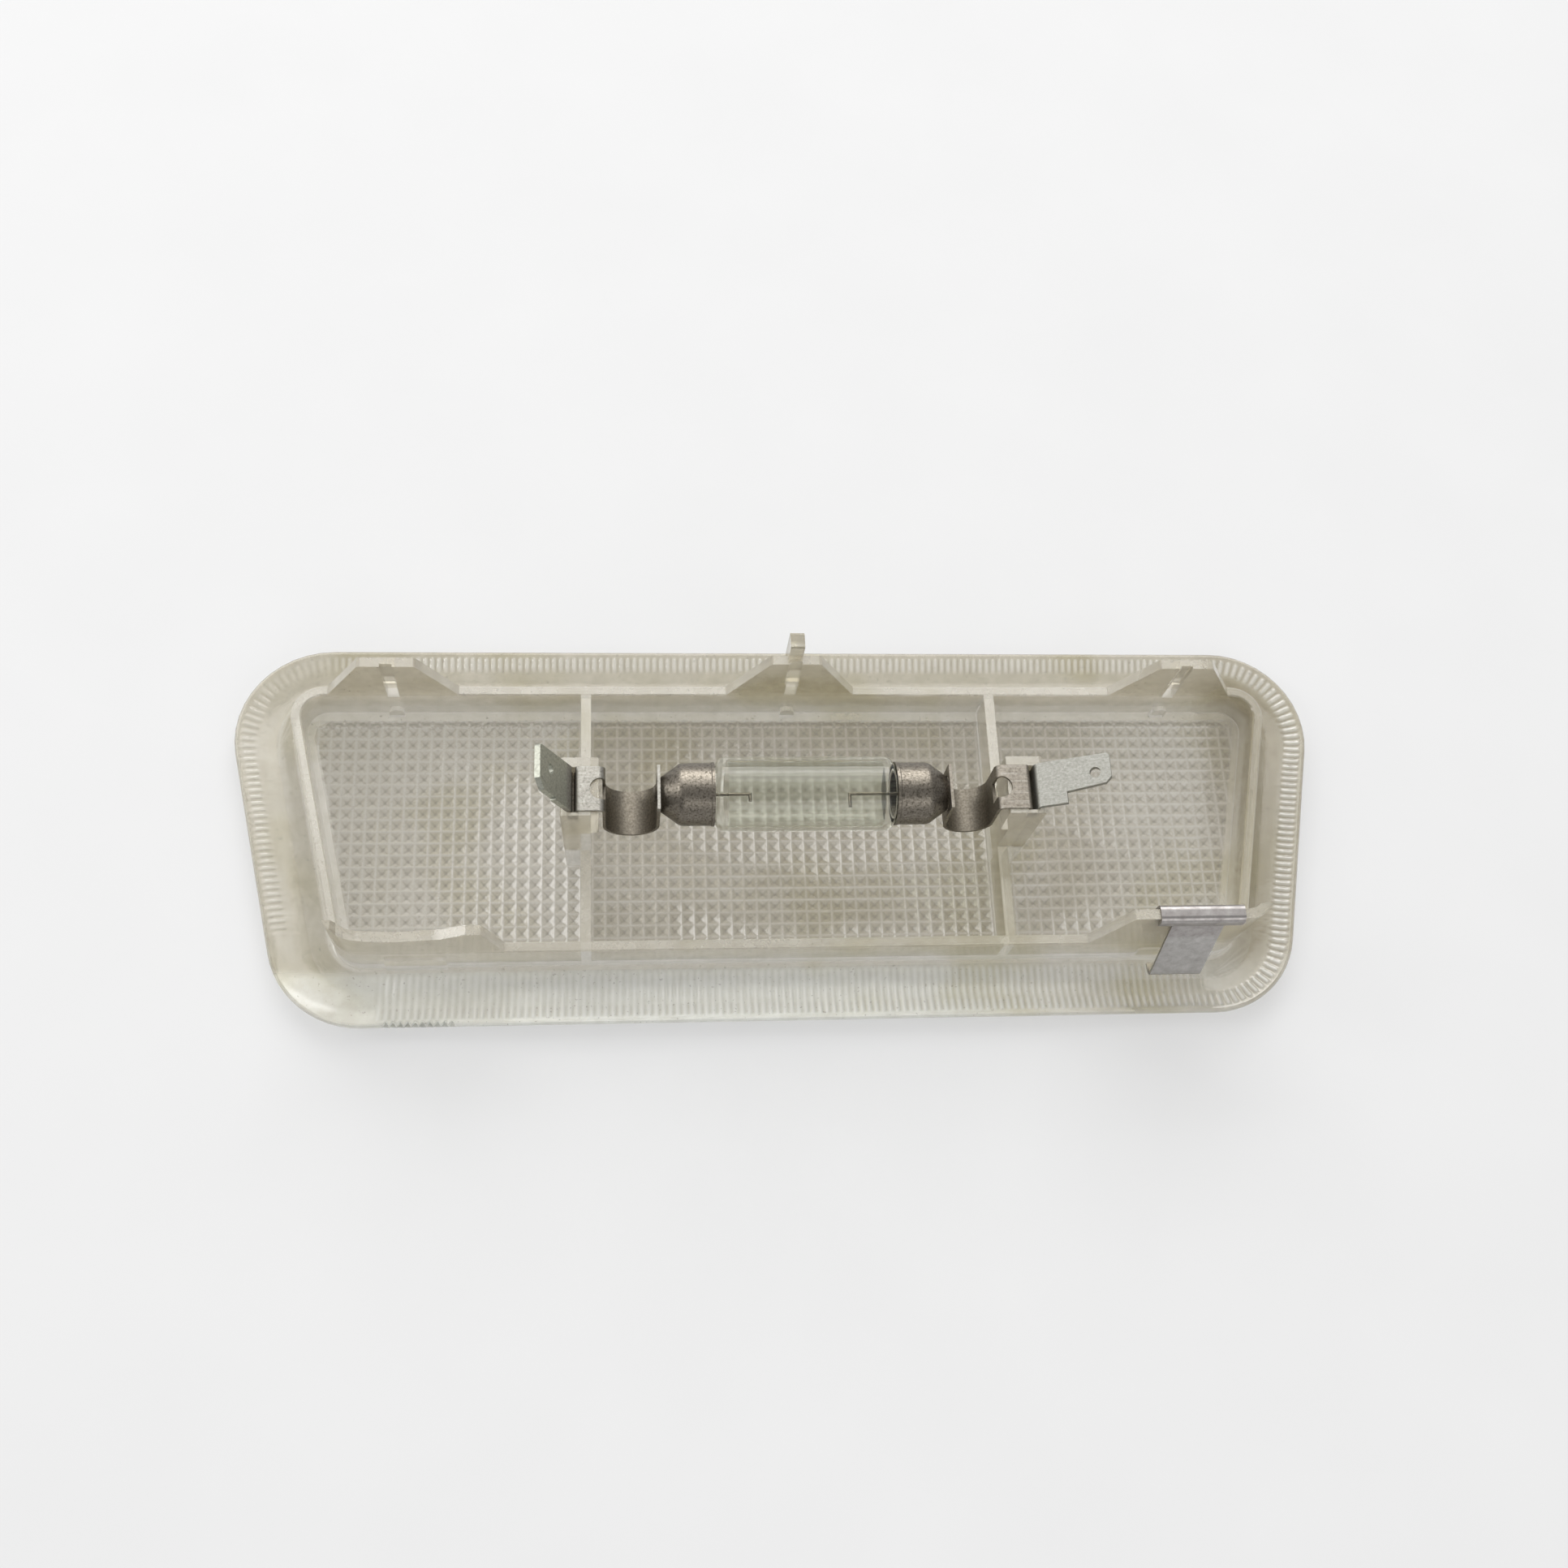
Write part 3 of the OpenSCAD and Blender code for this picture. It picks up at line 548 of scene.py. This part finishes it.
pit_shade = add(lens_tree, "Math", LARGER, n0=pit_shade, n1=crease)
inside = add(lens_tree, "MapRange", value=inset_here, from_min=11.2, from_max=11.5)
low = add(lens_tree, "MapRange", value=lens_z, from_min=3.05, from_max=3.15, to_min=1.0, to_max=0.0)
in_panel = add(lens_tree, "Math", TIMES, n0=inside, n1=low)
pale_ridge = add(lens_tree, "Math", TIMES, n0=ridge_glint, n1=in_panel)
dark_pit = add(lens_tree, "Math", TIMES, n0=pit_shade, n1=in_panel)
print("prisms of", PRISM_PITCH, "mm, nodes so far:", len(lens_tree.nodes))

# %% [markdown]
# The middle of the panel is darker, more so towards the top, and the right-hand end is darker too. Where the
# dark middle runs on past the right post onto the right-hand panel, it is painted shade of the post. Each is
# a soft zone along the lens, from one place to another in millimetres. Where they are darker, the painted
# highlight on the ridges is weaker.

# %% Lens finish: darker zones and painted shade of the right post
middle_from_left = add(lens_tree, "MapRange", SMOOTH, value=lens_x, from_min=-33, from_max=-29)
# Where the dark middle fades out past the right post, it is painted shade of the post.
middle_to_post_shade = add(lens_tree, "MapRange", SMOOTH, value=lens_x,
                 from_min=40, from_max=54, to_min=1.0, to_max=0.0)
middle_towards_top = add(lens_tree, "MapRange", SMOOTH, value=lens_y,
               from_min=-18, from_max=2, to_min=0.72, to_max=1.0)
middle_and_post_shade = add(lens_tree, "Math", TIMES, n0=middle_from_left, n1=middle_to_post_shade)
middle_and_post_shade = add(lens_tree, "Math", TIMES, n0=middle_and_post_shade, n1=middle_towards_top)
middle_and_post_shade = add(lens_tree, "Math", TIMES, n0=middle_and_post_shade, n1=in_panel)
right_end = add(lens_tree, "MapRange", SMOOTH, value=lens_x, from_min=60, from_max=70)
off_band = add(lens_tree, "MapRange", SMOOTH, value=inset_here,
               from_min=2.6, from_max=4.0, to_min=0.4, to_max=1.0)
right_end = add(lens_tree, "Math", TIMES, n0=right_end, n1=off_band)
# The darker zones, with the painted shade of the right post.
darker_zones_and_post_shade = add(lens_tree, "Math", LARGER, n0=middle_and_post_shade, n1=right_end)
ridge_left = add(lens_tree, "Math", {"operation": "MULTIPLY_ADD"}, n0=darker_zones_and_post_shade, n1=-0.6, n2=1.0)
pale_ridge = add(lens_tree, "Math", TIMES, n0=pale_ridge, n1=ridge_left)
print("nodes so far:", len(lens_tree.nodes))

# %% [markdown]
# The lower run of the flange carries a pale, streaky sheen on the real lens. The lights here don't give it,
# so a paler tone stands in for it, and it fades towards the clip and the lower left corner. The base tone is
# clouded by a slow noise, about a centimetre across. The wall is lighter than the panel and the flange,
# and from the wall's top upwards it is a little darker again.

# %% Lens finish: base tones
cloud = add(lens_tree, "TexNoise", vector=lens_mm, scale=0.09, detail=4.0, roughness=0.6)
panel_tone = add(lens_tree, "Mix", COLOURS, factor=cloud, a=linear("#D3CDBC"), b=linear("#E9E4DB"))
flange_tone = add(lens_tree, "Mix", COLOURS, factor=cloud, a=linear("#D3CDB8"), b=linear("#E6E1D5"))
wall_tone = add(lens_tree, "Mix", COLOURS, factor=cloud, a=linear("#EDE8DA"), b=linear("#F8F5EC"))
on_wall = add(lens_tree, "MapRange", SMOOTH, value=inset_here, from_min=7.8, from_max=8.2)
lower_run = add(lens_tree, "MapRange", SMOOTH, value=lens_y,
                from_min=-21.5, from_max=-19.5, to_min=1.0, to_max=0.0)
left_of_clip = add(lens_tree, "MapRange", SMOOTH, value=lens_x,
                   from_min=5, from_max=60, to_min=1.0, to_max=0.2)
right_of_corner = add(lens_tree, "MapRange", SMOOTH, value=lens_x,
                      from_min=-66, from_max=-55, to_min=0.55, to_max=1.0)
lower_run = add(lens_tree, "Math", TIMES, n0=lower_run, n1=left_of_clip)
lower_run = add(lens_tree, "Math", TIMES, n0=lower_run, n1=right_of_corner)
flange_tone = add(lens_tree, "Mix", COLOURS, factor=lower_run, a=flange_tone, b=linear("#FCFDF7"))
tone = add(lens_tree, "Mix", COLOURS, factor=on_wall, a=flange_tone, b=wall_tone)
on_top = add(lens_tree, "MapRange", SMOOTH, value=lens_z,
             from_min=9.2, from_max=9.35, to_min=0.0, to_max=0.35)
tone = add(lens_tree, "Mix", TINTED, factor=on_top, a=tone, b=linear("#D6D0BF"))
tone = add(lens_tree, "Mix", COLOURS, factor=in_panel, a=tone, b=panel_tone)
print("nodes so far:", len(lens_tree.nodes))

# %% [markdown]
# Old plastic is never even. A very slow noise leaves a yellow stain here and there, about two centimetres
# across, and a faster one, of some two millimetres, dulls it in patches. The darker zones, with the painted
# shade of the right post, get their colour here too. Each is a tint that multiplies the base tone, so its
# clouds still show.

# %% Lens finish: stains and dull patches
stain = add(lens_tree, "TexNoise", vector=lens_mm, scale=0.05, detail=2.0)
mottle = add(lens_tree, "TexNoise", vector=lens_mm, scale=0.45, detail=6.0, roughness=0.7)
stained = add(lens_tree, "MapRange", SMOOTH, value=stain,
              from_min=0.52, from_max=0.66, to_min=0.0, to_max=0.5)
tone = add(lens_tree, "Mix", TINTED, factor=stained, a=tone, b=linear("#E4E0C4"))
# Tint for the darker zones and the painted shade of the right post.
tone = add(lens_tree, "Mix", TINTED, factor=darker_zones_and_post_shade, a=tone, b=linear("#D9D5CB"))
dulled = add(lens_tree, "MapRange", SMOOTH, value=mottle,
             from_min=0.35, from_max=0.65, to_min=0.35, to_max=0.0)
tone = add(lens_tree, "Mix", TINTED, factor=dulled, a=tone, b=linear("#DAD6CF"))
print("nodes so far:", len(lens_tree.nodes))

# %% [markdown]
# The details go over that: painted shade in the pits and their creases, a painted highlight on the ridges,
# painted shade in the grooves between the ribs, and a painted highlight on the ribs. The finest noise, about
# half a millimetre, makes specks of dirt, most of them along the top of the panel, where the real lens has a
# row of them.

# %% Lens finish: painted shade and highlights, and dirt
specks = add(lens_tree, "TexNoise", vector=lens_mm, scale=2.2, detail=3.0)
top_row = add(lens_tree, "MapRange", SMOOTH, value=lens_y,
              from_min=15.4, from_max=17.0, to_min=0.0, to_max=0.3)
top_row = add(lens_tree, "Math", TIMES, n0=top_row, n1=in_panel)
dirt_level = add(lens_tree, "Math", {"operation": "SUBTRACT"}, n0=0.68, n1=top_row)
dirt = add(lens_tree, "Math", {"operation": "GREATER_THAN"}, n0=specks, n1=dirt_level)
dirt = add(lens_tree, "Math", TIMES, n0=dirt, n1=0.4)
# Painted shade in the pits and their creases, then a painted highlight on the ridges.
tone = add(lens_tree, "Mix", COLOURS, factor=dark_pit, a=tone, b=linear("#8E8778"))
tone = add(lens_tree, "Mix", COLOURS, factor=pale_ridge, a=tone, b=linear("#E4DFD4"))
# Painted shade in the grooves between the ribs.
groove_shade = add(lens_tree, "Math", TIMES, n0=groove_here, n1=0.4)
tone = add(lens_tree, "Mix", COLOURS, factor=groove_shade, a=tone, b=linear("#A29B88"))
# Painted highlight on the ribs.
tone = add(lens_tree, "Mix", COLOURS, factor=rib_here, a=tone, b=linear("#F6F5F0"))
tone = add(lens_tree, "Mix", COLOURS, factor=dirt, a=tone, b=linear("#6E675A"))
print("nodes so far:", len(lens_tree.nodes))

# %% [markdown]
# The surface itself is smooth plastic gone a little hazy, with the index of refraction of acrylic, 1.49. How
# much light goes through differs by place: most through the panel, least through the milky lower run. A
# ripple of a few hundredths of a millimetre breaks up its reflections, as on any old moulding.

# %% Lens finish: surface
haze = add(lens_tree, "MapRange", SMOOTH, value=mottle,
           from_min=0.3, from_max=0.7, to_min=0.06, to_max=0.15)
see_through = add(lens_tree, "Mix", factor=lower_run, a=0.77, b=0.48)
see_through = add(lens_tree, "Mix", factor=on_wall, a=see_through, b=0.7)
see_through = add(lens_tree, "Mix", factor=in_panel, a=see_through, b=0.82)
ripple = add(lens_tree, "Bump", strength=0.4, distance=0.05 * MM, height=mottle)
plastic = add(lens_tree, "BsdfPrincipled", base_color=tone, roughness=haze, ior=1.49,
              transmission_weight=see_through, normal=ripple)
add(lens_tree, "OutputMaterial", surface=plastic)
lens_mesh.materials.clear()
lens_mesh.materials.append(aged_plastic)
print(lens.name, "has", aged_plastic.name, "with", len(lens_tree.nodes), "nodes")

# %% [markdown]
# ## Metals
# Metal reflects in its own colour, and an old plating is uneven: brown where heat or dirt has dulled it,
# brighter where something rubs it, and pitted where it has gone. A plain metal shader would look new. So one
# function makes a cloudy plating from a dark and a light tone, and a piece can change its tones along the
# way. The grain is given per millimetre, and the streaks are 5 mm long and a fifth of a millimetre wide.

# %% Metal finishes
STREAKS = (0.2, 5.0, 5.0)  # draws a noise out along X
RUBBED_TONE = "#D2D1CB"
PIT_TONE = "#3B362E"


def dress(name, finish):
    """Gives a piece of the solid model its finish."""
    mesh = nodes[name].data
    mesh.materials.clear()
    mesh.materials.append(finish)
    print(name, "has", finish.name, "with", len(finish.node_tree.nodes), "nodes")


def plated(name, tones, zones, rough, grain, pitted=0.0, rubbed=0.0):
    """Metal with a cloudy plating, uneven from wear.

    Each zone is an axis, where it begins and where it is reached, in mm, and its two tones. It goes over
    the zones before it. rubbed says how much bright streaks show inside the zones, and pitted how much
    dark pits show everywhere.
    """
    made, tree = finish_named(name)
    at = add(tree, "TexCoord").outputs["Object"]
    mm = add(tree, "VectorMath", {"operation": "SCALE"}, vector=at, scale=1 / MM)
    cloud = add(tree, "TexNoise", vector=mm, scale=grain, detail=6.0, roughness=0.7)
    spread = add(tree, "MapRange", value=cloud, from_min=0.25, from_max=0.75)
    colour = add(tree, "Mix", COLOURS, factor=spread, a=linear(tones[0]), b=linear(tones[1]))
    if zones:
        axes = add(tree, "SeparateXYZ", vector=mm).outputs
        long_way = add(tree, "VectorMath", TIMES, n0=mm, n1=STREAKS)
        scratch = add(tree, "TexNoise", vector=long_way, scale=1.0, detail=4.0)
        rub = add(tree, "MapRange", value=scratch,
                  from_min=0.45, from_max=0.7, to_min=0.0, to_max=rubbed)
    for axis, start, end, (dark, light) in zones:
        reached = add(tree, "MapRange", SMOOTH, value=axes[axis], from_min=start, from_max=end)
        there = add(tree, "Mix", COLOURS, factor=spread, a=linear(dark), b=linear(light))
        there = add(tree, "Mix", COLOURS, factor=rub, a=there, b=linear(RUBBED_TONE))
        colour = add(tree, "Mix", COLOURS, factor=reached, a=colour, b=there)
    pits = add(tree, "TexNoise", vector=mm, scale=3.2, detail=2.0)
    pit = add(tree, "MapRange", value=pits, from_min=0.56, from_max=0.64, to_min=0.0, to_max=pitted)
    colour = add(tree, "Mix", COLOURS, factor=pit, a=colour, b=linear(PIT_TONE))
    dull = add(tree, "MapRange", value=cloud,
               from_min=0.3, from_max=0.7, to_min=rough + 0.12, to_max=rough - 0.06)
    bump = add(tree, "Bump", strength=0.5, distance=0.03 * MM, height=cloud)
    metal = add(tree, "BsdfPrincipled", base_color=colour, metallic=1.0, roughness=dull, normal=bump)
    add(tree, "OutputMaterial", surface=metal)
    return made


# %% [markdown]
# The contacts are bent from plated spring strip, most likely a copper alloy. Their loops are brown next to
# the bulb. The blades, which plugs rub, are brighter. The flats on top of the posts are lighter too, as a
# painted reflection of the lights, with rubbed streaks over it. The left blade stands up, so its zone goes
# by height. The right one is bent over to the side, so its zone goes by X.

# %% Contacts
LOOP_TONES = ("#5F594F", "#979083")
FLAT_FROM, FLAT_TO = 23.0, 23.8

# On both contacts the first zone, the flats on top of the posts, is a painted reflection with rubbed
# streaks.
dress("left_contact", plated(
    "plated_spring_strip_left", LOOP_TONES,
    [("Z", FLAT_FROM, FLAT_TO, ("#838078", "#B1AEA6")), ("Z", 24.6, 25.4, ("#97978A", "#C6C8BC"))],
    rough=0.44, grain=3.0, pitted=0.25, rubbed=0.2))
dress("right_contact", plated(
    "plated_spring_strip_right", LOOP_TONES,
    [("Z", FLAT_FROM, FLAT_TO, ("#6E675C", "#A19A8F")), ("X", 31.0, 31.6, ("#85847D", "#A1A099"))],
    rough=0.46, grain=3.0, pitted=0.15, rubbed=0.2))

# %% [markdown]
# The bulb's caps are pressed from thin sheet, most likely nickel-plated brass, and dark pits are spread over
# them. They need no zones: the same plating and pits are all over them.

# %% Bulb caps
cap_finish = plated("nickel_plated_brass", ("#4F4A42", "#938C81"), [], rough=0.38, grain=3.5, pitted=0.6)
dress("left_bulb_cap", cap_finish)
dress("right_bulb_cap", cap_finish)

# %% [markdown]
# The clip is folded from rolled spring steel, so it is smooth, with larger and softer clouds than a
# plating. Its legs and tongue are lighter than the roll over the tab, so one zone is reached going down.

# %% Spring clip
dress("spring_clip", plated(
    "rolled_spring_steel", ("#8B8683", "#B4B0AE"), [("Z", 17.5, 16.5, ("#9B9894", "#BBB9B7"))],
    rough=0.36, grain=0.8))

# %% [markdown]
# The two lead wires stand inside the glass. They are drawn wire, brownish as the caps are, and so thin that
# only their tone and a soft gleam can be seen.

# %% Lead wires
wire_finish = plated("lead_wire_metal", ("#5A5348", "#8B8376"), [], rough=0.35, grain=2.0)
dress("left_lead_wire", wire_finish)
dress("right_lead_wire", wire_finish)

# %% [markdown]
# ## Bulb glass
# The envelope is a thin tube, most likely of soda-lime glass. Light goes through thin walls almost unbent,
# so the prisms show through them. What is seen of the glass is its bright reflections and a faint haze.
# So the body has an index of refraction far below that of glass, and a coat with the real one, 1.52,
# gives the reflections.

# %% Bulb glass
BODY_IOR = 1.06   # lets light through almost unbent
GLASS_IOR = 1.52  # gives the reflections

tube, glass_tree = finish_named("soda_lime_bulb_glass")
glass_place = add(glass_tree, "TexCoord").outputs["Object"]
film = add(glass_tree, "TexNoise", vector=glass_place, scale=0.16 / MM, detail=3.0)
film_tone = add(glass_tree, "Mix", COLOURS, factor=film, a=linear("#E4E6DF"), b=linear("#F2F3EE"))
glass = add(glass_tree, "BsdfPrincipled", base_color=film_tone, roughness=0.0, ior=BODY_IOR,
            transmission_weight=0.99, coat_weight=0.4, coat_roughness=0.0, coat_ior=GLASS_IOR)
add(glass_tree, "OutputMaterial", surface=glass)
dress("bulb_glass", tube)
